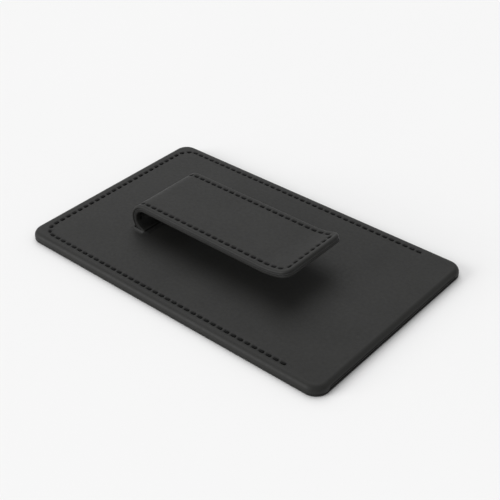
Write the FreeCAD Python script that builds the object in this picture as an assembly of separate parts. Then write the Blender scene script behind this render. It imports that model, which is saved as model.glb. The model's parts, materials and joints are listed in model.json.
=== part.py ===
"""Leather money clip: a slim card wallet with a sprung, leather-covered clip arm.

Millimetres. X runs along the clip arm, from its bend (-X) to its free tip and the
card pocket's mouth (+X). Z is up, and the origin is the middle of the underside.
The wallet is a stack of thin layers. The arm is a strip of spring steel between two
strips of leather, bent round an axis along Y, and it is stored held open.
"""
import FreeCAD, Part

import math
import os
from FreeCAD import Vector

# Wallet outline
LENGTH = 114.5
WIDTH = 72.0
CORNER_RADIUS = 4.5

# Wallet layers, from the underside up
BACK_LEATHER = 0.75
LINING = 0.15
POCKET_HEIGHT = 0.80
FRONT_LEATHER = 0.85
TOP_EDGE_RADIUS = 0.70
BOTTOM_EDGE_RADIUS = 0.60

# Card pocket
POCKET_DEPTH = 84.0
POCKET_RIM = 5.0
LINING_INSET = 0.5

# Clip arm
ARM_WIDTH = 26.0
ARM_GAP = 6.70
ARM_COVER = 1.00
SPRING_STEEL = 0.50
ARM_LINING = 0.80
BEND_INSET = 23.0
ARM_FLAT = 46.4
FLARE_RADIUS = 24.0
FLARE_ANGLE = 25.0
TIP_CORNER_RADIUS = 3.0
SPRING_WIDTH = 18.4
SPRING_CORNER_RADIUS = 2.0
SPRING_TIP_MARGIN = 3.2
FIT = 0.10

# Where the arm enters the wallet, as angles round the bend from its top
COVER_END_ANGLE = 128.0
SPRING_END_ANGLE = 140.0
LEG_START_ANGLE = 160.0
LEG_LENGTH = 26.0
TAIL_MARGIN = 3.0
SLOT_CLEARANCE = 0.30

# Sewing
SEAM_INSET = 3.2
END_SEAM_INSET = 3.65
SEAM_CORNER_RADIUS = 4.8
SEAM_MOUTH_GAP = 13.0
ARM_SEAM_INSET = 2.0
STITCH_PITCH = 2.5
STITCH_LENGTH = 1.5
THREAD_WIDTH = 0.60
THREAD_DEPTH = 0.22
GROOVE_WIDTH = 0.80
GROOVE_DEPTH = 0.25
ARM_SEAM_END_ANGLE = 112.0

# Heights of the layers. The board is as thick as the steel that lies in it
Z_BACK_LINING = BACK_LEATHER
Z_POCKET = Z_BACK_LINING + LINING
Z_POCKET_LINING = Z_POCKET + POCKET_HEIGHT
Z_BOARD = Z_POCKET_LINING + LINING
Z_FRONT = Z_BOARD + SPRING_STEEL
Z_TOP = Z_FRONT + FRONT_LEATHER

# Bend: the steel's middle runs half round the hinge axis, from the leg to the arm
ARM_UNDERSIDE = Z_TOP + ARM_GAP
ARM_STEEL_Z = ARM_UNDERSIDE + ARM_LINING + SPRING_STEEL / 2
LEG_Z = Z_BOARD + SPRING_STEEL / 2
HINGE_Z = (ARM_STEEL_Z + LEG_Z) / 2
BEND_RADIUS = (ARM_STEEL_Z - LEG_Z) / 2
R_STEEL_IN = BEND_RADIUS - SPRING_STEEL / 2
R_STEEL_OUT = BEND_RADIUS + SPRING_STEEL / 2
R_IN = R_STEEL_IN - ARM_LINING
R_OUT = R_STEEL_OUT + ARM_COVER
BEND_OUTER_X = -LENGTH / 2 + BEND_INSET
HINGE_X = BEND_OUTER_X + R_OUT

# Distances along the arm's outer face, from the top of the bend
FLARE_LENGTH = FLARE_RADIUS * math.radians(FLARE_ANGLE)
TIP = ARM_FLAT + FLARE_LENGTH
TIP_X = HINGE_X + ARM_FLAT + (FLARE_RADIUS + R_OUT - R_IN) * math.sin(math.radians(FLARE_ANGLE))


def box(x0, x1, y0, y1, z0, z1):
    """An upright box between two corners."""
    return Part.makeBox(x1 - x0, y1 - y0, z1 - z0, Vector(x0, y0, z0))


def rounded_outline(x0, x1, y0, y1, radii, z):
    """A closed outline with a radius for each corner: back left, back right, front right, front left."""
    corners = [(x0, y1, 1, -1), (x1, y1, -1, -1), (x1, y0, -1, 1), (x0, y0, 1, 1)]
    edges = []
    ends = []
    for number, ((x, y, inward_x, inward_y), radius) in enumerate(zip(corners, radii)):
        on_x = Vector(x + inward_x * radius, y, z)
        on_y = Vector(x, y + inward_y * radius, z)
        first, last = (on_y, on_x) if number % 2 == 0 else (on_x, on_y)
        ends.append((first, last))
        if radius > 0:
            reach = radius * (1 - math.sqrt(0.5))
            middle = Vector(x + inward_x * reach, y + inward_y * reach, z)
            edges.append(Part.Arc(first, middle, last).toShape())
    for number in range(4):
        start = ends[number][1]
        end = ends[(number + 1) % 4][0]
        edges.append(Part.makeLine(start, end))
    return Part.Wire(Part.__sortEdges__(edges))


def slab(x0, x1, y0, y1, z0, z1, radii=(0, 0, 0, 0)):
    """A flat sheet with rounded corners."""
    outline = rounded_outline(x0, x1, y0, y1, radii, z0)
    return Part.Face(outline).extrude(Vector(0, 0, z1 - z0))


def wallet_sheet(z0, z1, inset=0.0):
    """A sheet of the wallet's own outline, or a little inside it."""
    x = LENGTH / 2 - inset
    y = WIDTH / 2 - inset
    return slab(-x, x, -y, y, z0, z1, [CORNER_RADIUS - inset] * 4)


def round_rim(sheet, z, radius, wall):
    """Rounds the outer edge that lies all round a sheet at one height, as far as its wall allows."""
    rim = [e for e in sheet.Edges if abs(e.BoundBox.ZMin - z) < 1e-6 and abs(e.BoundBox.ZMax - z) < 1e-6]
    return sheet.makeFillet(min(radius, 0.9 * wall), rim)


# The wallet's seam runs in a U: along the front, round the bend's end and along the back

def seam_corners():
    """The corner centres' X, and their distance from the middle in Y."""
    x = -LENGTH / 2 + END_SEAM_INSET + SEAM_CORNER_RADIUS
    y = WIDTH / 2 - SEAM_INSET - SEAM_CORNER_RADIUS
    return x, y


def seam_groove(z0, z1):
    """The U-shaped channel that the wallet's thread lies in."""
    reach = GROOVE_WIDTH / 2
    end = LENGTH / 2 - SEAM_MOUTH_GAP + STITCH_LENGTH
    rings = []
    for side in (-reach, reach):
        x = -LENGTH / 2 + END_SEAM_INSET + side
        y = WIDTH / 2 - SEAM_INSET - side
        radius = SEAM_CORNER_RADIUS - side
        rings.append(slab(x, end, -y, y, z0, z1, (radius, 0, 0, radius)))
    inner_end = rings[1].copy()
    inner_end.translate(Vector(1, 0, 0))
    return rings[0].cut(rings[1].fuse(inner_end))


def seam_place(distance):
    """A point on the wallet's seam, its heading in degrees, and the side that it is on."""
    corner_x, corner_y = seam_corners()
    straight = LENGTH / 2 - SEAM_MOUTH_GAP - corner_x
    arc = SEAM_CORNER_RADIUS * math.pi / 2
    left = 2 * corner_y
    if distance < straight:
        return corner_x + straight - distance, -corner_y - SEAM_CORNER_RADIUS, 180, "front"
    distance -= straight
    if distance < arc:
        angle = distance / SEAM_CORNER_RADIUS
        x = corner_x - SEAM_CORNER_RADIUS * math.sin(angle)
        y = -corner_y - SEAM_CORNER_RADIUS * math.cos(angle)
        return x, y, 180 - math.degrees(angle), "left"
    distance -= arc
    if distance < left:
        return corner_x - SEAM_CORNER_RADIUS, -corner_y + distance, 90, "left"
    distance -= left
    if distance < arc:
        angle = distance / SEAM_CORNER_RADIUS
        x = corner_x - SEAM_CORNER_RADIUS * math.cos(angle)
        y = corner_y + SEAM_CORNER_RADIUS * math.sin(angle)
        return x, y, 90 - math.degrees(angle), "left"
    distance -= arc
    return corner_x + distance, corner_y + SEAM_CORNER_RADIUS, 0, "back"


def seam_length():
    """The whole length of the wallet's seam."""
    corner_x, corner_y = seam_corners()
    straight = LENGTH / 2 - SEAM_MOUTH_GAP - corner_x
    return 2 * straight + math.pi * SEAM_CORNER_RADIUS + 2 * corner_y


def stitch_centres(length, pitch):
    """Evenly spaced middles of the stitches along a seam."""
    count = max(1, round(length / pitch))
    return [(number + 0.5) * length / count for number in range(count)]


def flat_stitch(x, y, heading, z0, z1):
    """One stitch lying flat: a short bar with round ends."""
    half = STITCH_LENGTH / 2
    side = THREAD_WIDTH / 2
    bar = slab(-half, half, -side, side, z0, z1, [side * 0.9] * 4)
    bar.rotate(Vector(0, 0, 0), Vector(0, 0, 1), heading)
    bar.translate(Vector(x, y, 0))
    return bar


def wallet_stitches(side, z0, z1):
    """All stitches of one side of the wallet's seam, as separate solids."""
    bars = []
    for distance in stitch_centres(seam_length(), STITCH_PITCH):
        x, y, heading, where = seam_place(distance)
        if where == side:
            bars.append(flat_stitch(x, y, heading, z0, z1))
    return Part.makeCompound(bars)


# The arm: every strip follows one profile, at its own distance from the hinge axis

def profile_point(along, radius):
    """A point of the arm's side view, from the distance along its outer face."""
    if along < 0:
        angle = -along / R_OUT
        return Vector(HINGE_X - radius * math.sin(angle), 0, HINGE_Z + radius * math.cos(angle))
    if along <= ARM_FLAT:
        return Vector(HINGE_X + along, 0, HINGE_Z + radius)
    angle = (along - ARM_FLAT) / FLARE_RADIUS
    reach = FLARE_RADIUS + R_OUT - radius
    centre_z = HINGE_Z + R_OUT + FLARE_RADIUS
    return Vector(HINGE_X + ARM_FLAT + reach * math.sin(angle), 0, centre_z - reach * math.cos(angle))


def profile_edges(start, end, radius):
    """The profile's line between two distances: an arc, a straight run and the flare's arc."""
    breaks = [start] + [b for b in (0.0, ARM_FLAT) if start < b < end] + [end]
    edges = []
    for first, last in zip(breaks, breaks[1:]):
        points = [profile_point(along, radius) for along in (first, (first + last) / 2, last)]
        straight = first >= 0 and last <= ARM_FLAT
        edges.append(Part.makeLine(points[0], points[2]) if straight else Part.Arc(*points).toShape())
    return edges


def arm_strip(start, end, inner, outer, y0, y1):
    """A strip of the arm between two distances along it, two radii and two sides."""
    top = profile_edges(start, end, outer)
    under = profile_edges(start, end, inner)
    ends = [Part.makeLine(profile_point(along, inner), profile_point(along, outer)) for along in (start, end)]
    side = Part.Face(Part.Wire(Part.__sortEdges__(top + under + ends)))
    side.translate(Vector(0, y0, 0))
    return side.extrude(Vector(0, y1 - y0, 0))


def arm_plan(half_width, end_x, radius):
    """An upright prism of the arm's plan, with its tip's corners rounded."""
    low_x = BEND_OUTER_X - ARM_WIDTH
    high_z = HINGE_Z + R_OUT + FLARE_RADIUS
    return slab(low_x, end_x, -half_width, half_width, 0, high_z, (0, radius, radius, 0))


def bend_distance(angle):
    """The distance along the outer face of a place on the bend, below its top."""
    return -R_OUT * math.radians(angle)


def arm_layer(end_angle, inner, outer):
    """One full-width strip of the arm, from its end in the slot to the tip."""
    half = ARM_WIDTH / 2
    strip = arm_strip(bend_distance(end_angle), TIP, inner, outer, -half, half)
    return strip.common(arm_plan(half, TIP_X, TIP_CORNER_RADIUS))


def spring_end_x():
    """The X of the spring's free end, where its plan corners are rounded."""
    return profile_point(TIP - SPRING_TIP_MARGIN, R_STEEL_IN).x


def spring_strip(grow=0.0):
    """The sprung part of the steel, or the room that it needs in the filler."""
    half = SPRING_WIDTH / 2 + grow
    along = TIP - SPRING_TIP_MARGIN + grow
    strip = arm_strip(bend_distance(SPRING_END_ANGLE), along, R_STEEL_IN, R_STEEL_OUT, -half, half)
    return strip.common(arm_plan(half, spring_end_x() + grow, SPRING_CORNER_RADIUS + grow))


def arm_side_places():
    """The middles of the stitches along each side of the arm."""
    start = bend_distance(ARM_SEAM_END_ANGLE)
    end = TIP - ARM_SEAM_INSET - STITCH_LENGTH / 2
    return [start + middle for middle in stitch_centres(end - start, STITCH_PITCH)]


def arm_side_stitches(side, inner, outer):
    """The stitches along the front (-1) or back (+1) side of the arm."""
    middle = side * (ARM_WIDTH / 2 - ARM_SEAM_INSET)
    reach = THREAD_WIDTH / 2
    half = STITCH_LENGTH / 2
    bars = [arm_strip(place - half, place + half, inner, outer, middle - reach, middle + reach)
            for place in arm_side_places()]
    return Part.makeCompound(bars)


def arm_tip_stitches(inner, outer):
    """The stitches across the arm's tip."""
    along = TIP - ARM_SEAM_INSET
    reach = THREAD_WIDTH / 2
    half = STITCH_LENGTH / 2
    width = ARM_WIDTH - 2 * ARM_SEAM_INSET - GROOVE_WIDTH
    middles = [middle - width / 2 for middle in stitch_centres(width, STITCH_PITCH)]
    bars = [arm_strip(along - reach, along + reach, inner, outer, y - half, y + half) for y in middles]
    return Part.makeCompound(bars)


def arm_grooves(inner, outer):
    """The channels that the arm's thread lies in, on one face."""
    reach = GROOVE_WIDTH / 2
    seam_y = ARM_WIDTH / 2 - ARM_SEAM_INSET
    start = bend_distance(ARM_SEAM_END_ANGLE)
    end = TIP - ARM_SEAM_INSET + reach
    tip = arm_strip(end - GROOVE_WIDTH, end, inner, outer, -seam_y + reach, seam_y - reach)
    middles = (-seam_y, seam_y)
    sides = [arm_strip(start, end, inner, outer, y - reach, y + reach) for y in middles]
    return sides[0].fuse([sides[1], tip])


# Wallet pieces

def back_panel():
    sheet = round_rim(wallet_sheet(0, BACK_LEATHER), 0, BOTTOM_EDGE_RADIUS, BACK_LEATHER)
    return sheet.cut(seam_groove(-1, GROOVE_DEPTH))


def back_lining():
    return wallet_sheet(Z_BACK_LINING, Z_POCKET, LINING_INSET)


def pocket_lining():
    return wallet_sheet(Z_POCKET_LINING, Z_BOARD, LINING_INSET)


def pocket_stop():
    """The board that fills the bend's end of the wallet and stops the cards."""
    x0 = -LENGTH / 2
    x1 = LENGTH / 2 - POCKET_DEPTH
    y = WIDTH / 2
    return slab(x0, x1, -y, y, Z_POCKET, Z_POCKET_LINING, (CORNER_RADIUS, 0, 0, CORNER_RADIUS))


def pocket_rim(side):
    """The strip that closes the pocket along the front (-1) or the back (+1)."""
    x0 = LENGTH / 2 - POCKET_DEPTH
    x1 = LENGTH / 2
    edge = side * WIDTH / 2
    inner = edge - side * POCKET_RIM
    radii = (0, CORNER_RADIUS, 0, 0) if side > 0 else (0, 0, CORNER_RADIUS, 0)
    return slab(x0, x1, min(edge, inner), max(edge, inner), Z_POCKET, Z_POCKET_LINING, radii)


def slot_x():
    """Both ends, in X, of the slot that the arm comes out of."""
    depth = HINGE_Z - Z_TOP
    outer = HINGE_X - math.sqrt(R_OUT ** 2 - depth ** 2)
    return outer - SLOT_CLEARANCE, HINGE_X + SLOT_CLEARANCE


def anchor_end_x():
    """The X where the steel's leg ends, under the front panel."""
    return HINGE_X + LEG_LENGTH


def anchor_room(z0, z1):
    """The room in the board for the leg, the strap's tail and the bend."""
    half = ARM_WIDTH / 2 + FIT
    return box(slot_x()[0], anchor_end_x() + TAIL_MARGIN + FIT, -half, half, z0, z1)


def stiffener_board():
    return wallet_sheet(Z_BOARD, Z_FRONT, LINING_INSET).cut(anchor_room(Z_BOARD - 1, Z_FRONT + 1))


def strap_tail():
    """The strap's thinned leather end, glued under the front panel round the steel's leg."""
    half = ARM_WIDTH / 2
    tail = box(HINGE_X, anchor_end_x() + TAIL_MARGIN, -half, half, Z_BOARD, Z_FRONT)
    leg_room = SPRING_WIDTH / 2 + FIT
    room = box(HINGE_X - 1, anchor_end_x() + FIT, -leg_room, leg_room, Z_BOARD - 1, Z_FRONT + 1)
    return tail.cut(room)


def spring_leg():
    """The steel's fixed end: a flat leg that turns up into the slot."""
    half = SPRING_WIDTH / 2
    edges = []
    ends = []
    for radius in (R_STEEL_IN, R_STEEL_OUT):
        points = []
        for angle in (LEG_START_ANGLE, (LEG_START_ANGLE + 180) / 2, 180):
            turn = math.radians(angle)
            points.append(Vector(HINGE_X - radius * math.sin(turn), -half, HINGE_Z + radius * math.cos(turn)))
        far = Vector(anchor_end_x(), -half, HINGE_Z - radius)
        edges += [Part.Arc(*points).toShape(), Part.makeLine(points[2], far)]
        ends.append((points[0], far))
    edges += [Part.makeLine(ends[0][number], ends[1][number]) for number in (0, 1)]
    leg = Part.Face(Part.Wire(Part.__sortEdges__(edges))).extrude(Vector(0, SPRING_WIDTH, 0))
    return leg.common(arm_plan(half, anchor_end_x(), SPRING_CORNER_RADIUS))


def front_panel():
    sheet = round_rim(wallet_sheet(Z_FRONT, Z_TOP), Z_TOP, TOP_EDGE_RADIUS, FRONT_LEATHER)
    sheet = sheet.cut(seam_groove(Z_TOP - GROOVE_DEPTH, Z_TOP + 1))
    x0, x1 = slot_x()
    half = ARM_WIDTH / 2 + SLOT_CLEARANCE
    return sheet.cut(box(x0, x1, -half, half, Z_FRONT - 1, Z_TOP + 1))


# Arm pieces

def arm_cover():
    layer = arm_layer(COVER_END_ANGLE, R_STEEL_OUT, R_OUT)
    return layer.cut(arm_grooves(R_OUT - GROOVE_DEPTH, R_OUT + 1))


def arm_lining():
    layer = arm_layer(SPRING_END_ANGLE, R_IN, R_STEEL_IN)
    return layer.cut(arm_grooves(R_IN - 1, R_IN + GROOVE_DEPTH))


def arm_filler():
    """The frame that fills the strap round the spring, to the same thickness."""
    return arm_layer(SPRING_END_ANGLE, R_STEEL_IN, R_STEEL_OUT).cut(spring_strip(FIT))


def all_nodes():
    """Every sub-part of the money clip, by node name."""
    top = (Z_TOP - GROOVE_DEPTH, Z_TOP - GROOVE_DEPTH + THREAD_DEPTH)
    under = (GROOVE_DEPTH - THREAD_DEPTH, GROOVE_DEPTH)
    arm_top = (R_OUT - GROOVE_DEPTH, R_OUT - GROOVE_DEPTH + THREAD_DEPTH)
    arm_under = (R_IN + GROOVE_DEPTH - THREAD_DEPTH, R_IN + GROOVE_DEPTH)
    nodes = {
        "back_panel": back_panel(),
        "back_lining": back_lining(),
        "pocket_stop": pocket_stop(),
        "pocket_rim_front": pocket_rim(-1),
        "pocket_rim_back": pocket_rim(1),
        "pocket_lining": pocket_lining(),
        "stiffener_board": stiffener_board(),
        "strap_tail": strap_tail(),
        "spring_leg": spring_leg(),
        "front_panel": front_panel(),
        "clip_spring": spring_strip(),
        "arm_cover": arm_cover(),
        "arm_lining": arm_lining(),
        "arm_filler": arm_filler(),
        "arm_tip_thread": arm_tip_stitches(*arm_top),
        "arm_tip_bobbin": arm_tip_stitches(*arm_under),
    }
    for side in ("front", "left", "back"):
        nodes[f"{side}_thread"] = wallet_stitches(side, *top)
        nodes[f"{side}_bobbin"] = wallet_stitches(side, *under)
    for name, side in (("front", -1), ("back", 1)):
        nodes[f"arm_{name}_thread"] = arm_side_stitches(side, *arm_top)
        nodes[f"arm_{name}_bobbin"] = arm_side_stitches(side, *arm_under)
    return nodes


os.makedirs("parts", exist_ok=True)
print(f"hinge axis at x {HINGE_X:.3f}, z {HINGE_Z:.3f}; arm tip at x {TIP_X:.3f}")
for name, shape in all_nodes().items():
    if not shape.isValid() or shape.Volume <= 0:
        raise ValueError(f"{name} is not a valid solid")
    shape.exportStep(f"parts/{name}.step")
    print(f"{name}: {len(shape.Solids)} solids, {shape.Volume:.2f} mm3")
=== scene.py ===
import json
import math
import bpy
import numpy as np
from mathutils import Matrix, Vector
from mathutils.geometry import delaunay_2d_cdt


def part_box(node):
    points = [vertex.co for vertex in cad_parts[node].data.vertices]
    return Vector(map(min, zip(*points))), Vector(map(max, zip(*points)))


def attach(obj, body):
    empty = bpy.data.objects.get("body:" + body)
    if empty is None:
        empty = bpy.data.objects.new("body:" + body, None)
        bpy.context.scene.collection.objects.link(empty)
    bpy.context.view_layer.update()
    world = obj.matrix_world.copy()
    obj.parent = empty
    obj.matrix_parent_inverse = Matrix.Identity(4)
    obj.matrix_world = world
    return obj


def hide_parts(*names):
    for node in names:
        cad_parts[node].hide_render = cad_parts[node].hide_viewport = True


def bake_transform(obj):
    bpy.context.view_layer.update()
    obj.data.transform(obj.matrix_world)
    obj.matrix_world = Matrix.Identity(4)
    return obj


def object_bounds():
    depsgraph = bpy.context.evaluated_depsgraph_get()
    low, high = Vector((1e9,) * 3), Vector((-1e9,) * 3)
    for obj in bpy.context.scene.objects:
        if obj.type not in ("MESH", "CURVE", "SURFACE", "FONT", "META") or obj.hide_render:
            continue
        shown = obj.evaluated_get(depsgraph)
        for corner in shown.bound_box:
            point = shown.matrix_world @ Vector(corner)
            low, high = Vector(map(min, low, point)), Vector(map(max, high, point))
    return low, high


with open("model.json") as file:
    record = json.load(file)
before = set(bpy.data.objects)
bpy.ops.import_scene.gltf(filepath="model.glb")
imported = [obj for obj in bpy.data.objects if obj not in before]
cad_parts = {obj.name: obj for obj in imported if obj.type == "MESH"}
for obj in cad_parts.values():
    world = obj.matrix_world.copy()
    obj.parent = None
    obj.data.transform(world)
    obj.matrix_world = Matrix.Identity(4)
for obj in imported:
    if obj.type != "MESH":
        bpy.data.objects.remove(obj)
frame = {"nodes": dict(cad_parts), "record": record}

# The flat shapes below are in millimetres, and every placed point is in metres.
# A leather plate is drawn flat, as "along" and "across", with a height out of its face.
# It is then laid on the wallet, or wrapped round the clip arm's profile.
MM = 0.001
CAD_BOX = [list(corner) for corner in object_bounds()]


def corners_mm(node):
    """A CAD node's lowest and highest corner, in millimetres."""
    low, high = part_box(node)
    return Vector(low) / MM, Vector(high) / MM


# Sizes that the frame gives
FRONT_LOW, FRONT_HIGH = corners_mm("front_panel")
BACK_LOW, BACK_HIGH = corners_mm("back_panel")
STOP_LOW, STOP_HIGH = corners_mm("pocket_stop")
RIM_LOW, RIM_HIGH = corners_mm("pocket_rim_back")
LINING_LOW = corners_mm("pocket_lining")[0]
HALF_LENGTH = FRONT_HIGH.x
HALF_WIDTH = FRONT_HIGH.y
HALF_ARM = corners_mm("arm_cover")[1].y
HINGE = Vector(frame["record"]["behaviour"]["joints"][0]["pos_m"]) / MM
R_OUT = HINGE.x - corners_mm("arm_cover")[0].x
R_STEEL_OUT = HINGE.x - corners_mm("clip_spring")[0].x
R_STEEL_IN = HINGE.x - corners_mm("arm_lining")[0].x
HALF_SPRING = corners_mm("clip_spring")[1].y

# Sizes of the leather work, as the part's source has them
CORNER_RADIUS = 4.5
ARM_LINING = 0.80
R_IN = R_STEEL_IN - ARM_LINING
ARM_FLAT = 46.4
FLARE_RADIUS = 24.0
FLARE_ANGLE = math.radians(25)
TIP = ARM_FLAT + FLARE_RADIUS * FLARE_ANGLE
TIP_CORNER_RADIUS = 3.0

# Details that only the visual model has
LEATHER_GAP = 0.06
TURNED_EDGE = 0.45
BOARD_SETBACK = 0.12
SLOT_CLEARANCE = 0.12
FILLER_SETBACK = 0.12
PANEL_WAVE = 0.012
ARM_WAVE = 0.008
FRONT_SHOULDER = 1.75
BACK_SHOULDER = 0.50
ARM_SHOULDER = 0.75
LINING_SHOULDER = 0.40

# Sewing
SEAM_INSET = 3.2
END_SEAM_INSET = 3.65
SEAM_CORNER_RADIUS = 4.8
SEAM_MOUTH_GAP = 13.0
ARM_SEAM_INSET = 2.0
ARM_SEAM_END = -R_OUT * math.radians(112)
STITCH_PITCH = 2.5
STITCH_LENGTH = 1.5
STITCH_SLANT = math.radians(5)
THREAD_RADIUS = 0.38
THREAD_SUNK = 0.28
STITCH_DIP = 0.42
STITCH_PLIES = 3
PIT_DEPTH = 0.38
PIT_HALF_WIDTH = 0.50
CHANNEL_DEPTH = 0.06
CHANNEL_HALF_WIDTH = 0.85

# Colours, as linear red, green and blue
LEATHER_DARK = (0.0106, 0.0106, 0.0098)
LEATHER_LIGHT = (0.0138, 0.0138, 0.0130)
LEATHER_WORN = (0.026, 0.026, 0.0245)
LEATHER_ROUGHNESS = 0.56
LEATHER_GRAIN = 2600

# Studio
FLOOR_REACH = 3.0
WORLD_STRENGTH = 0.585
CAMERA_AZIMUTH = 40.63
CAMERA_ELEVATION = 35.64
CAMERA_ROLL = -0.396
CAMERA_FROM_CORNER = (0.1110, -0.15595, 0.1850)
LENS = 73.7
SENSOR_WIDTH = 36.0


# ---------------------------------------------------------------- placing

def on_front(points, heights):
    """Flat points laid on the front panel's face."""
    return np.column_stack([points, FRONT_HIGH.z + heights]) * MM


def on_back(points, heights):
    """Flat points laid on the underside, with heights pointing down."""
    return np.column_stack([points, BACK_LOW.z - heights]) * MM


def at_level(z, shift=0.0):
    """Lays flat points at one height of the stack, moved across."""
    def place(points, heights):
        return np.column_stack([points[:, 0], points[:, 1] + shift, z + heights]) * MM
    return place


def round_arm(radius, outward):
    """Wraps flat points round the arm's profile at one radius, with heights out (+1) or in (-1)."""
    def place(points, heights):
        along = points[:, 0]
        r = radius + outward * heights
        angle = np.where(along < 0, -along / R_OUT, 0)
        flare = np.where(along > ARM_FLAT, (along - ARM_FLAT) / FLARE_RADIUS, 0)
        reach = FLARE_RADIUS + R_OUT - r
        flat = np.clip(along, 0, ARM_FLAT)
        x = HINGE.x + flat - np.where(along < 0, r * np.sin(angle), 0) + reach * np.sin(flare)
        z = HINGE.z + r * np.cos(angle) + reach * (1 - np.cos(flare))
        return np.column_stack([x, points[:, 1], z]) * MM
    return place


# ---------------------------------------------------------------- plates

class Outline:
    """A flat rounded outline: from start to end along, and half its width across.

    The corner radii are those of the end's front and back, then the start's back and front.
    """

    def __init__(self, start, end, half, radii, spacing=0.25):
        self.start, self.end, self.half = start, end, half
        self.radii = radii
        lengths = (end - start, 2 * half, end - start, 2 * half)
        self.steps = [max(2, round(length / spacing)) for length in lengths]
        self.corner_steps = [max(3, round(radius * math.pi / 2 / spacing)) for radius in self.radii]

    def ring(self, inset):
        """The outline's points, counter-clockwise, with the same columns at every inset."""
        a0, a1, half = self.start + inset, self.end - inset, self.half - inset
        # Each corner: its place, the way in from it, and the angle its arc starts at
        places = ((a1, -half, -1, 1, -90), (a1, half, -1, -1, 0),
                  (a0, half, 1, -1, 90), (a0, -half, 1, 1, 180))
        arcs = []
        for (a, b, in_a, in_b, first), radius, steps in zip(places, self.radii, self.corner_steps):
            r = max(radius - inset, 0.12)
            turn = np.radians(first + 90 * np.arange(steps + 1) / steps)
            along = a + in_a * r + r * np.cos(turn)
            across = b + in_b * r + r * np.sin(turn)
            arcs.append(np.column_stack([along, across]))
        parts = []
        for number, steps in enumerate(self.steps):
            start, end = arcs[number - 1][-1], arcs[number][0]
            share = np.arange(1, steps)[:, None] / steps
            parts += [arcs[number - 1][-1:], start + (end - start) * share, arcs[number][:-1]]
        return np.vstack(parts)


def inside_points(outline, inset, spacing, hole):
    """A grid of points inside an outline, clear of its edge and of a hole."""
    margin = inset + 0.6 * spacing
    a = np.arange(outline.start + margin, outline.end - margin + 1e-6, spacing)
    half = outline.half - margin
    b = np.linspace(-half, half, max(2, round(2 * half / spacing) + 1))
    grid = np.array(np.meshgrid(a, b)).reshape(2, -1).T
    if hole is None:
        return grid
    near = 0.6 * spacing
    beyond_ends = (grid[:, 0] < hole.start - near) | (grid[:, 0] > hole.end + near)
    return grid[beyond_ends | (abs(grid[:, 1]) > hole.half + near)]


def within(point, loop):
    """Whether a point is inside a loop's bounds."""
    return np.all(point > loop.min(0)) and np.all(point < loop.max(0))


def fill(loop, hole_loop, inner):
    """Triangles between a convex loop, a hole's loop and loose points, numbered in that order."""
    loops = [loop] + ([hole_loop] if hole_loop is not None else [])
    points = np.vstack(loops + [inner])
    edges = []
    first = 0
    for one in loops:
        count = len(one)
        edges += [(first + k, first + (k + 1) % count) for k in range(count)]
        first += count
    made = delaunay_2d_cdt([Vector(p) for p in points], edges, [], 0, 1e-7)
    flat = np.array([tuple(v) for v in made[0]])
    source = [origin[0] for origin in made[3]]
    triangles = []
    for face in made[2]:
        middle = flat[list(face)].mean(axis=0)
        (ax, ay), (bx, by), (cx, cy) = flat[list(face)]
        if abs((bx - ax) * (cy - ay) - (cx - ax) * (by - ay)) < 1e-7:
            continue
        if hole_loop is None or not within(middle, hole_loop):
            triangles.append([source[k] for k in face])
    return triangles


def waviness(points, size):
    """A gentle unevenness of hand-finished leather, from a few crossing waves."""
    a, b = points[:, 0], points[:, 1]
    waves = np.sin(a * 0.23 + 1.3) * np.cos(b * 0.31 + 0.4)
    waves = waves + 0.6 * np.sin(a * 0.11 - b * 0.17 + 2.1) + 0.3 * np.sin(a * 0.53 + b * 0.47)
    return size * waves


def seam_relief(points, stitches):
    """How far a seam pulls the leather in: a pit under each stitch, in a shallow channel."""
    pulled = np.zeros(len(points))
    if not stitches:
        return pulled
    centres = np.array([s[:2] for s in stitches])
    turn = np.array([s[2] for s in stitches])
    for start in range(0, len(points), 4000):
        part = points[start:start + 4000]
        offset = part[:, None, :] - centres[None]
        along = abs(offset[..., 0] * np.cos(turn) + offset[..., 1] * np.sin(turn))
        across = offset[..., 1] * np.cos(turn) - offset[..., 0] * np.sin(turn)
        pit = np.exp(-(across / PIT_HALF_WIDTH) ** 4) / (1 + (along / (STITCH_LENGTH / 2 + 0.04)) ** 8)
        channel = np.exp(-(across / CHANNEL_HALF_WIDTH) ** 2) / (1 + (along / (STITCH_PITCH * 0.7)) ** 8)
        depth = PIT_DEPTH * pit.max(axis=1) + CHANNEL_DEPTH * channel.max(axis=1)
        pulled[start:start + 4000] = depth
    return -pulled


def new_mesh(name, vertices, faces, material, flip=False):
    """A smooth-shaded mesh object."""
    mesh = bpy.data.meshes.new(name)
    mesh.from_pydata([tuple(v) for v in vertices], [], [f[::-1] for f in faces] if flip else faces)
    mesh.materials.append(material)
    mesh.shade_smooth()
    mesh.update()
    thing = bpy.data.objects.new(name, mesh)
    bpy.context.scene.collection.objects.link(thing)
    return thing


def add_wear(thing, wear):
    """Stores how rubbed each point is, for the leather's material."""
    attribute = thing.data.attributes.new("wear", "FLOAT", "POINT")
    attribute.data.foreach_set("value", np.asarray(wear, np.float32))


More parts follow.
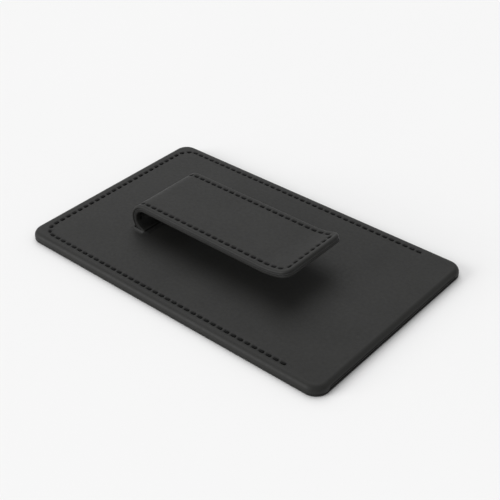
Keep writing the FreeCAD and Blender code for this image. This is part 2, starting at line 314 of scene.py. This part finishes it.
def plate(name, outline, section, place, material, stitches=(), hole=None, hole_section=(), spacing=2.0,
          wave=0.0, flip=False, face_from=0):
    """A closed plate, from the rings of its section: inside face, round the edge, outside face.

    Each ring is an inset and a height, and a height may differ from column to column.
    Rings from face_from on belong to the outside face, where seams and unevenness show.
    A hole's own section goes down from the outside face to the inside one.
    """
    rings, points, heights, wear = [], [], [], []
    total = 0

    def add(flat, height, rubbed):
        nonlocal total
        points.append(flat)
        heights.append(np.broadcast_to(height, len(flat)).astype(float))
        wear.append(np.broadcast_to(rubbed, len(flat)).astype(float))
        first = total
        total += len(flat)
        return np.arange(first, total)

    def outer_face(flat, height):
        return height + seam_relief(flat, stitches) + waviness(flat, wave)

    for number, (inset, height) in enumerate(section):
        flat = outline.ring(inset)
        rubbed = math.exp(-(((inset - 0.55) / 0.45) ** 2)) if number >= face_from else 0.3
        rings.append(add(flat, outer_face(flat, height) if number >= face_from else height, rubbed))
    faces = []
    for outer, inner in zip(rings, rings[1:]):
        count = len(outer)
        faces += [[outer[k], outer[(k + 1) % count], inner[(k + 1) % count], inner[k]] for k in range(count)]

    hole_rings = []
    for inset, height in hole_section:
        flat = hole.ring(inset)
        hole_rings.append(add(flat, height, 0.4))
    for top, under in zip(hole_rings, hole_rings[1:]):
        count = len(top)
        faces += [[top[k], under[k], under[(k + 1) % count], top[(k + 1) % count]] for k in range(count)]

    ends = ((section[-1], rings[-1], hole_rings[0] if hole_rings else None, True),
            (section[0], rings[0], hole_rings[-1] if hole_rings else None, False))
    for (inset, height), ring, hole_ring, outside in ends:
        flat = outline.ring(inset)
        hole_flat = None if hole is None else hole.ring(hole_section[0 if outside else -1][0])
        inner = inside_points(outline, inset, spacing, hole)
        level = float(np.mean(height))
        loose = add(inner, outer_face(inner, level) if outside else level, 0.0)
        numbers = np.concatenate([ring] + ([hole_ring] if hole_ring is not None else []) + [loose])
        for triangle in fill(flat, hole_flat, inner):
            corner_numbers = [numbers[k] for k in triangle]
            faces.append(corner_numbers if outside else corner_numbers[::-1])
    placed = place(np.vstack(points), np.concatenate(heights))
    thing = new_mesh(name, placed, [[int(k) for k in f] for f in faces], material, flip)
    add_wear(thing, np.concatenate(wear))
    return thing


def shoulder(radius, side_bottom, steps=7):
    """A rounded edge: rings from the side's foot up and over to the face, as insets and heights."""
    side = [(0.0, side_bottom), (0.0, (side_bottom - radius) / 2), (0.0, -radius)]
    turn = [math.pi / 2 * k / steps for k in range(1, steps + 1)]
    return side + [(radius * (1 - math.cos(t)), radius * (math.sin(t) - 1)) for t in turn]


def seam_rings(start, seam, last):
    """Insets of the rings across a seam: close together at the thread, wider apart away from it."""
    steps = (0.06, 0.18, 0.30, 0.42, 0.55, 0.75)
    near = [seam - step for step in reversed(steps)] + [seam + step for step in steps]
    before = [start + (near[0] - start) * share for share in (0.4, 0.75)]
    after = [near[-1] + (last - near[-1]) * share for share in (0.25, 0.6, 1.0)]
    return [(inset, 0.0) for inset in before + near + after]


# ---------------------------------------------------------------- seams

def even_middles(length):
    """The middles of stitches spaced evenly along a length."""
    count = round(length / STITCH_PITCH)
    return [(k + 0.5) * length / count for k in range(count)]


def wallet_seam():
    """Every stitch of the wallet's three sewn sides: place, heading and side."""
    corner_x = -HALF_LENGTH + END_SEAM_INSET + SEAM_CORNER_RADIUS
    corner_y = HALF_WIDTH - SEAM_INSET - SEAM_CORNER_RADIUS
    straight = HALF_LENGTH - SEAM_MOUTH_GAP - corner_x
    r = SEAM_CORNER_RADIUS
    arc = r * math.pi / 2
    lengths = (straight, arc, 2 * corner_y, arc, straight)
    stitches = []
    for distance in even_middles(sum(lengths)):
        part = 0
        while distance > lengths[part]:
            distance -= lengths[part]
            part += 1
        turn = math.pi / 2 * distance / arc
        sine, cosine = r * math.sin(turn), r * math.cos(turn)
        if part == 0:
            stitches.append((corner_x + straight - distance, -corner_y - r, math.pi, "front"))
        elif part == 1:
            stitches.append((corner_x - sine, -corner_y - cosine, math.pi - turn, "left"))
        elif part == 2:
            stitches.append((corner_x - r, -corner_y + distance, math.pi / 2, "left"))
        elif part == 3:
            stitches.append((corner_x - cosine, corner_y + sine, math.pi / 2 - turn, "left"))
        else:
            stitches.append((corner_x + distance, corner_y + r, 0.0, "back"))
    return stitches


def arm_seam():
    """Every stitch of the arm's seam: place, heading and side."""
    edge = HALF_ARM - ARM_SEAM_INSET
    end = TIP - ARM_SEAM_INSET
    side = end - STITCH_LENGTH / 2 - ARM_SEAM_END
    stitches = []
    for middle in even_middles(side):
        stitches.append((ARM_SEAM_END + middle, -edge, 0.0, "front"))
        stitches.append((ARM_SEAM_END + middle, edge, 0.0, "back"))
    width = 2 * edge - STITCH_LENGTH / 2
    stitches += [(end, middle - width / 2, math.pi / 2, "tip") for middle in even_middles(width)]
    return stitches


def stitch_shape():
    """One stitch's points and faces, for a three-ply thread that dips into its holes.

    The points are along, across and up.
    """
    rings, sides = 15, 12
    half = STITCH_LENGTH / 2
    points = []
    for k in range(rings):
        share = 2 * k / (rings - 1) - 1
        along = share * half
        dip = STITCH_DIP * abs(share) ** 5
        slope = math.atan(-5 * STITCH_DIP * abs(share) ** 4 * math.copysign(1, share) / half)
        for j in range(sides):
            turn = 2 * math.pi * j / sides
            r = THREAD_RADIUS * (0.93 + 0.10 * math.cos(STITCH_PLIES * turn - share * 4.5))
            across, up = r * math.cos(turn), 0.85 * r * math.sin(turn)
            points.append((along - up * math.sin(slope), across, up * math.cos(slope) - dip))
    faces = []
    for k in range(rings - 1):
        for j in range(sides):
            a, b = k * sides + j, k * sides + (j + 1) % sides
            faces.append([a, a + sides, b + sides, b])
    faces.append([j for j in range(sides)])
    faces.append([(rings - 1) * sides + j for j in reversed(range(sides))])
    return np.array(points), faces


def sew(name, stitches, place, material, flip=False, sunk=THREAD_SUNK):
    """One mesh of separate stitches, laid by the same placing as their leather."""
    shape, shape_faces = stitch_shape()
    flat, heights, faces = [], [], []
    for number, (a, b, heading, _side) in enumerate(stitches):
        turn = heading + STITCH_SLANT
        along, across = shape[:, 0], shape[:, 1]
        flat.append(np.column_stack([a + along * math.cos(turn) - across * math.sin(turn),
                                     b + along * math.sin(turn) + across * math.cos(turn)]))
        heights.append(shape[:, 2] - sunk)
        first = number * len(shape)
        faces += [[first + k for k in face] for face in shape_faces]
    return new_mesh(name, place(np.vstack(flat), np.concatenate(heights)), faces, material, flip)


# ---------------------------------------------------------------- materials

def node_material(name):
    """An empty node material with its Principled shader, and a way to add nodes."""
    material = bpy.data.materials.new(name)
    material.use_nodes = True
    tree = material.node_tree
    shader = tree.nodes["Principled BSDF"]

    def add(kind, **settings):
        node = tree.nodes.new(kind)
        for key, value in settings.items():
            if hasattr(node, key):
                setattr(node, key, value)
            else:
                node.inputs[key].default_value = value
        return node
    return material, tree.links.new, shader, add


def blend_colours(add, link, factor, first, second):
    """A colour between two, by a factor."""
    mix = add("ShaderNodeMix", data_type="RGBA")
    link(factor, mix.inputs["Factor"])
    for socket, colour in (("A", first), ("B", second)):
        target = [i for i in mix.inputs if i.name == socket and i.type == "RGBA"][0]
        if isinstance(colour, tuple):
            target.default_value = (*colour, 1)
        else:
            link(colour, target)
    return [o for o in mix.outputs if o.type == "RGBA"][0]


def bump_chain(add, link, shader, layers):
    """Bumps one over another: each layer is a height, its strength and its depth in metres."""
    normal = None
    for height, strength, distance in layers:
        bump = add("ShaderNodeBump", Strength=strength, Distance=distance)
        link(height, bump.inputs["Height"])
        if normal is not None:
            link(normal, bump.inputs["Normal"])
        normal = bump.outputs["Normal"]
    link(normal, shader.inputs["Normal"])


def range_of(add, link, value, low, high, to_low, to_high):
    """A value mapped from one range to another."""
    node = add("ShaderNodeMapRange")
    link(value, node.inputs["Value"])
    for key, number in (("From Min", low), ("From Max", high), ("To Min", to_low), ("To Max", to_high)):
        node.inputs[key].default_value = number
    return node.outputs["Result"]


def leather(name, dark, light, worn, roughness, grain):
    """Smooth black leather: fine pebbled grain, pores, faint cloudiness and rubbed edges."""
    material, link, shader, add = node_material(name)
    where = add("ShaderNodeTexCoord").outputs["Object"]
    pebbles = add("ShaderNodeTexVoronoi", feature="SMOOTH_F1", Scale=grain)
    creases = add("ShaderNodeTexNoise", Scale=grain * 0.35, Detail=5.0, Roughness=0.6)
    pores = add("ShaderNodeTexNoise", Scale=grain * 3.2, Detail=2.0)
    cloud = add("ShaderNodeTexNoise", Scale=75.0, Detail=3.0)
    for texture in (pebbles, creases, pores, cloud):
        link(where, texture.inputs["Vector"])
    wear = add("ShaderNodeAttribute", attribute_name="wear").outputs["Fac"]
    cloudy = range_of(add, link, cloud.outputs["Fac"], 0.3, 0.7, 0.0, 1.0)
    base = blend_colours(add, link, cloudy, dark, light)
    rubbed = add("ShaderNodeMath", operation="MULTIPLY")
    link(wear, rubbed.inputs[0])
    link(range_of(add, link, creases.outputs["Fac"], 0.35, 0.65, 0.35, 1.0), rubbed.inputs[1])
    colour = blend_colours(add, link, rubbed.outputs["Value"], base, worn)
    link(colour, shader.inputs["Base Color"])
    link(range_of(add, link, creases.outputs["Fac"], 0.25, 0.75, roughness - 0.06, roughness + 0.06),
         shader.inputs["Roughness"])
    shader.inputs["Specular IOR Level"].default_value = 0.24
    bump_chain(add, link, shader, ((pebbles.outputs["Distance"], 0.30, 0.00004),
                                   (creases.outputs["Fac"], 0.25, 0.00005),
                                   (pores.outputs["Fac"], 0.15, 0.00001)))
    return material


def thread_material():
    """Black bonded thread with fine fibres."""
    material, link, shader, add = node_material("black_thread")
    where = add("ShaderNodeTexCoord").outputs["Object"]
    fibres = add("ShaderNodeTexNoise", Scale=9000.0, Detail=3.0)
    link(where, fibres.inputs["Vector"])
    link(blend_colours(add, link, fibres.outputs["Fac"], (0.0015, 0.0015, 0.0015), (0.004, 0.004, 0.004)),
         shader.inputs["Base Color"])
    shader.inputs["Roughness"].default_value = 0.7
    shader.inputs["Specular IOR Level"].default_value = 0.12
    bump_chain(add, link, shader, ((fibres.outputs["Fac"], 0.4, 0.00002),))
    return material


def woven_material():
    """Thin black lining with a plain weave."""
    material, link, shader, add = node_material("black_lining")
    where = add("ShaderNodeTexCoord").outputs["Object"]
    heights = []
    for direction in ("X", "Y"):
        wave = add("ShaderNodeTexWave", bands_direction=direction, Scale=900.0, Distortion=0.4)
        link(where, wave.inputs["Vector"])
        heights.append(wave.outputs["Fac"])
    weave = add("ShaderNodeMath", operation="MAXIMUM")
    for number, height in enumerate(heights):
        link(height, weave.inputs[number])
    link(blend_colours(add, link, weave.outputs["Value"], (0.006, 0.006, 0.007), (0.022, 0.022, 0.024)),
         shader.inputs["Base Color"])
    shader.inputs["Roughness"].default_value = 0.8
    bump_chain(add, link, shader, ((weave.outputs["Value"], 0.5, 0.00004),))
    return material


def board_material():
    """Bonded leather board with a painted black edge."""
    material, link, shader, add = node_material("black_board")
    where = add("ShaderNodeTexCoord").outputs["Object"]
    fibres = add("ShaderNodeTexNoise", Scale=2600.0, Detail=6.0, Roughness=0.7)
    link(where, fibres.inputs["Vector"])
    link(blend_colours(add, link, fibres.outputs["Fac"], (0.006, 0.006, 0.006), (0.02, 0.02, 0.019)),
         shader.inputs["Base Color"])
    shader.inputs["Roughness"].default_value = 0.6
    bump_chain(add, link, shader, ((fibres.outputs["Fac"], 0.4, 0.00005),))
    return material


def steel_material():
    """Rolled spring steel with fine lines along the strip."""
    material, link, shader, add = node_material("spring_steel")
    where = add("ShaderNodeTexCoord").outputs["Object"]
    stretch = add("ShaderNodeMapping", Scale=(40.0, 6000.0, 400.0))
    link(where, stretch.inputs["Vector"])
    lines = add("ShaderNodeTexNoise", Scale=1.0, Detail=4.0)
    link(stretch.outputs["Vector"], lines.inputs["Vector"])
    link(blend_colours(add, link, lines.outputs["Fac"], (0.36, 0.37, 0.39), (0.55, 0.56, 0.58)),
         shader.inputs["Base Color"])
    shader.inputs["Metallic"].default_value = 1.0
    shader.inputs["Roughness"].default_value = 0.34
    bump_chain(add, link, shader, ((lines.outputs["Fac"], 0.2, 0.00002),))
    return material


def floor_material():
    """A pale, matt studio floor."""
    material, link, shader, add = node_material("pale_floor")
    where = add("ShaderNodeTexCoord").outputs["Object"]
    mottle = add("ShaderNodeTexNoise", Scale=6.0, Detail=2.0)
    link(where, mottle.inputs["Vector"])
    link(blend_colours(add, link, mottle.outputs["Fac"], (0.86, 0.86, 0.86), (0.88, 0.88, 0.88)),
         shader.inputs["Base Color"])
    shader.inputs["Roughness"].default_value = 0.9
    shader.inputs["Specular IOR Level"].default_value = 0.1
    return material


# ---------------------------------------------------------------- pieces

def rides(thing, slot, *nodes):
    """A piece that moves with the wallet and stands for its CAD nodes."""
    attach(thing, "wallet")
    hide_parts(*nodes)


def bends(thing, slot, *nodes):
    """A piece of the strap, shaped round the bend from the wallet to the arm, with its placing baked into
    its mesh; it stands for its CAD nodes.
    """
    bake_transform(thing)
    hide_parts(*nodes)


def lip_heights(outline, inset):
    """The lower edge of the front leather: low where it is sewn down, higher at the pocket's mouth."""
    flat = outline.ring(inset)
    at_mouth = np.clip((flat[:, 0] - (HALF_LENGTH - 2.0)) / 1.0, 0, 1)
    beside = np.clip((RIM_LOW.y + 0.8 - abs(flat[:, 1])) / 1.4, 0, 1)
    open_share = at_mouth * beside * beside * (3 - 2 * beside)
    sewn = BACK_HIGH.z + LEATHER_GAP
    mouth = LINING_LOW.z - 0.04
    return sewn + (mouth - sewn) * open_share - FRONT_HIGH.z


def make_front_leather(material, stitches):
    """The front panel's leather, with the slot that the strap comes out of."""
    outline = Outline(-HALF_LENGTH, HALF_LENGTH, HALF_WIDTH, [CORNER_RADIUS] * 4)
    inside = FRONT_LOW.z - FRONT_HIGH.z
    section = [(2.5, inside), (TURNED_EDGE + 0.03, inside)]
    turned = ((TURNED_EDGE, 0.10), (TURNED_EDGE - 0.08, 0.02), (0.22, 0.0), (0.09, 0.06), (0.02, 0.18))
    for inset, rise in turned:
        section.append((inset, lip_heights(outline, inset) + rise))
    side = shoulder(FRONT_SHOULDER, 0.0)
    section.append((0.0, lip_heights(outline, 0.0) + 0.30))
    section += side[2:]
    face_from = len(section)
    section += seam_rings(FRONT_SHOULDER, SEAM_INSET, SEAM_INSET + 2.6)
    strap_reach = math.sqrt(R_OUT ** 2 - (HINGE.z - FRONT_HIGH.z) ** 2)
    slot_start = HINGE.x - strap_reach - SLOT_CLEARANCE
    slot = Outline(slot_start, HINGE.x + 0.25, HALF_ARM + SLOT_CLEARANCE, [0.5] * 4)
    slot_section = [(-0.12, 0.0), (-0.04, -0.02), (0.0, -0.08), (0.0, -0.30), (0.0, inside)]
    thing = plate("front_leather", outline, section, on_front, material, stitches, slot, slot_section,
                  wave=PANEL_WAVE, face_from=face_from)
    rides(thing, "leather", "front_panel")


def make_back_leather(material, stitches):
    """The underside's leather."""
    outline = Outline(-HALF_LENGTH, HALF_LENGTH, HALF_WIDTH, [CORNER_RADIUS] * 4)
    inside = -(BACK_HIGH.z - BACK_LOW.z)
    section = [(2.5, inside), (0.30, inside), (0.12, inside + 0.03), (0.02, inside + 0.12)]
    section += shoulder(BACK_SHOULDER, inside + 0.22)
    face_from = len(section)
    section += seam_rings(BACK_SHOULDER, SEAM_INSET, SEAM_INSET + 2.6)
    thing = plate("back_leather", outline, section, on_back, material, stitches,
                  flip=True, face_from=face_from)
    rides(thing, "leather", "back_panel")


def make_core_boards(material):
    """The boards that close the pocket, a little inside the leather's turned edge."""
    edge = TURNED_EDGE + BOARD_SETBACK
    thick = STOP_HIGH.z - STOP_LOW.z
    section = [(0.3, -thick), (0.1, -thick), (0.0, -thick + 0.08), (0.0, -0.08), (0.1, 0.0), (0.3, 0.0)]
    lift = at_level(STOP_HIGH.z)
    corner = CORNER_RADIUS - edge
    radii = (0.2, 0.2, corner, corner)
    outline = Outline(STOP_LOW.x + edge, STOP_HIGH.x, HALF_WIDTH - edge, radii, 1.0)
    thing = plate("pocket_stop_core", outline, section, lift, material, spacing=4.0)
    rides(thing, "board", "pocket_stop")
    half = (RIM_HIGH.y - edge - RIM_LOW.y) / 2
    middle = RIM_LOW.y + half
    for name, side, radii in (("front", -1, (corner, 0.2, 0.2, 0.2)), ("back", 1, (0.2, corner, 0.2, 0.2))):
        outline = Outline(RIM_LOW.x, RIM_HIGH.x - edge, half, radii, 1.0)
        lift = at_level(STOP_HIGH.z, side * middle)
        thing = plate(f"pocket_rim_{name}_core", outline, section, lift, material, spacing=1.5)
        rides(thing, "board", f"pocket_rim_{name}")


def make_strap(leather_material, edge_material, stitches):
    """The arm's three layers, each one strip from inside the slot to the tip."""
    cover = R_OUT - R_STEEL_OUT
    corners = (TIP_CORNER_RADIUS, TIP_CORNER_RADIUS, 0.3, 0.3)
    root = -R_OUT * math.radians(138)
    outline = Outline(root, TIP, HALF_ARM, corners)
    section = [(0.5, 0.02 - cover), (0.18, 0.02 - cover), (0.05, 0.08 - cover)]
    section += shoulder(ARM_SHOULDER, 0.18 - cover)
    face_from = len(section)
    section += seam_rings(ARM_SHOULDER, ARM_SEAM_INSET, ARM_SEAM_INSET + 2.0)
    thing = plate("arm_cover_leather", outline, section, round_arm(R_OUT, 1), leather_material, stitches,
                  spacing=0.8, wave=ARM_WAVE, face_from=face_from)
    bends(thing, "leather", "arm_cover")

    root = -R_OUT * math.radians(175)
    outline = Outline(root, TIP, HALF_ARM, corners)
    section = [(0.5, 0.02 - ARM_LINING), (0.18, 0.02 - ARM_LINING), (0.05, 0.08 - ARM_LINING)]
    section += shoulder(LINING_SHOULDER, 0.16 - ARM_LINING)
    face_from = len(section)
    section += seam_rings(LINING_SHOULDER, ARM_SEAM_INSET, ARM_SEAM_INSET + 2.0)
    thing = plate("arm_lining_leather", outline, section, round_arm(R_IN, -1), leather_material, stitches,
                  spacing=0.8, flip=True, face_from=face_from)
    bends(thing, "leather", "arm_lining")

    root = -R_OUT * math.radians(150)
    steel = R_STEEL_OUT - R_STEEL_IN
    outline = Outline(root, TIP - FILLER_SETBACK, HALF_ARM - FILLER_SETBACK, corners)
    hole = Outline(root + 1.2, TIP - 3.0, HALF_SPRING + 0.15, (2.0, 2.0, 0.3, 0.3), 0.5)
    section = [(0.5, -steel), (0.05, -steel), (0.0, 0.06 - steel), (0.0, -0.06), (0.05, 0.0), (0.5, 0.0)]
    thing = plate("arm_filler_edge", outline, section, round_arm(R_STEEL_OUT, 1), edge_material,
                  hole=hole, hole_section=[(0.0, 0.0), (0.0, -steel)], spacing=0.8)
    bends(thing, "board", "arm_filler")


def make_sewing(material, wallet_stitches, arm_stitches):
    """The thread of every seam, on both faces."""
    for side in ("front", "left", "back"):
        some = [s for s in wallet_stitches if s[3] == side]
        top = sew(f"{side}_seam_stitches", some, on_front, material)
        rides(top, "thread", f"{side}_thread")
        under = sew(f"{side}_seam_under_stitches", some, on_back, material, flip=True,
                    sunk=THREAD_SUNK + 0.04)
        rides(under, "thread", f"{side}_bobbin")
    for side in ("front", "back", "tip"):
        some = [s for s in arm_stitches if s[3] == side]
        top = sew(f"arm_{side}_stitches", some, round_arm(R_OUT, 1), material)
        bends(top, "thread", f"arm_{side}_thread")
        under = sew(f"arm_{side}_under_stitches", some, round_arm(R_IN, -1), material, flip=True)
        bends(under, "thread", f"arm_{side}_bobbin")


def paint_nodes(material, *names):
    """Gives CAD nodes that stay in view a better material."""
    for name in names:
        for slot in frame["nodes"][name].material_slots:
            slot.material = material


# ---------------------------------------------------------------- studio

def make_floor():
    """A large flat floor at the underside's height."""
    mesh = bpy.data.meshes.new("floor")
    signs = ((-1, -1), (1, -1), (1, 1), (-1, 1))
    corners = [(a * FLOOR_REACH, b * FLOOR_REACH, 0) for a, b in signs]
    mesh.from_pydata(corners, [], [(0, 1, 2, 3)])
    mesh.materials.append(floor_material())
    floor = bpy.data.objects.new("floor", mesh)
    bpy.context.scene.collection.objects.link(floor)


def soft_light(name, direction, width, strength):
    """A distant, very soft light from a direction, as wide as a large softbox looks from the object."""
    light = bpy.data.lights.new(name, "SUN")
    light.angle = math.radians(width)
    light.energy = strength
    thing = bpy.data.objects.new(name, light)
    thing.rotation_euler = Vector(direction).to_track_quat("Z", "Y").to_euler()
    bpy.context.scene.collection.objects.link(thing)


def make_lights():
    """Two soft lights in a white surround, and a plain view of the colours."""
    soft_light("overhead_softbox", (-0.45, 0.34, 0.82), 58, 1.1)
    soft_light("low_front_softbox", (-0.53, -0.78, 0.33), 32, 1.85)
    world = bpy.data.worlds.new("studio")
    world.use_nodes = True
    world.node_tree.nodes["Background"].inputs["Color"].default_value = (1, 1, 1, 1)
    world.node_tree.nodes["Background"].inputs["Strength"].default_value = WORLD_STRENGTH
    bpy.context.scene.world = world
    bpy.context.scene.view_settings.view_transform = "Standard"


def make_camera():
    """A long lens above the front corner of the wallet, looking down at the arm."""
    angles = (CAMERA_AZIMUTH, CAMERA_ELEVATION, CAMERA_ROLL)
    azimuth, elevation, roll = (math.radians(angle) for angle in angles)
    camera = bpy.data.objects.new("camera", bpy.data.cameras.new("camera"))
    camera.data.sensor_width = SENSOR_WIDTH
    camera.data.lens = LENS
    camera.data.clip_start = 0.01
    level = math.cos(elevation)
    toward = Vector((-math.sin(azimuth) * level, math.cos(azimuth) * level, -math.sin(elevation)))
    corner = Vector((CAD_BOX[1][0], CAD_BOX[0][1], 0))
    turn = toward.to_track_quat("-Z", "Y").to_matrix().to_4x4() @ Matrix.Rotation(roll, 4, "Z")
    camera.matrix_world = Matrix.Translation(corner + Vector(CAMERA_FROM_CORNER)) @ turn
    bpy.context.scene.collection.objects.link(camera)
    bpy.context.scene.camera = camera


make_camera()
make_floor()
make_lights()

BLACK_LEATHER = leather("black_leather", LEATHER_DARK, LEATHER_LIGHT, LEATHER_WORN,
                        LEATHER_ROUGHNESS, LEATHER_GRAIN)
THREAD = thread_material()
BOARD = board_material()
LINING = woven_material()
STEEL = steel_material()

WALLET_STITCHES = wallet_seam()
ARM_STITCHES = arm_seam()
make_front_leather(BLACK_LEATHER, WALLET_STITCHES)
make_back_leather(BLACK_LEATHER, WALLET_STITCHES)
make_core_boards(BOARD)
make_strap(BLACK_LEATHER, BOARD, ARM_STITCHES)
make_sewing(THREAD, WALLET_STITCHES, ARM_STITCHES)
paint_nodes(BOARD, "stiffener_board")
paint_nodes(LINING, "pocket_lining", "back_lining")
paint_nodes(BLACK_LEATHER, "strap_tail")
paint_nodes(STEEL, "spring_leg", "clip_spring")
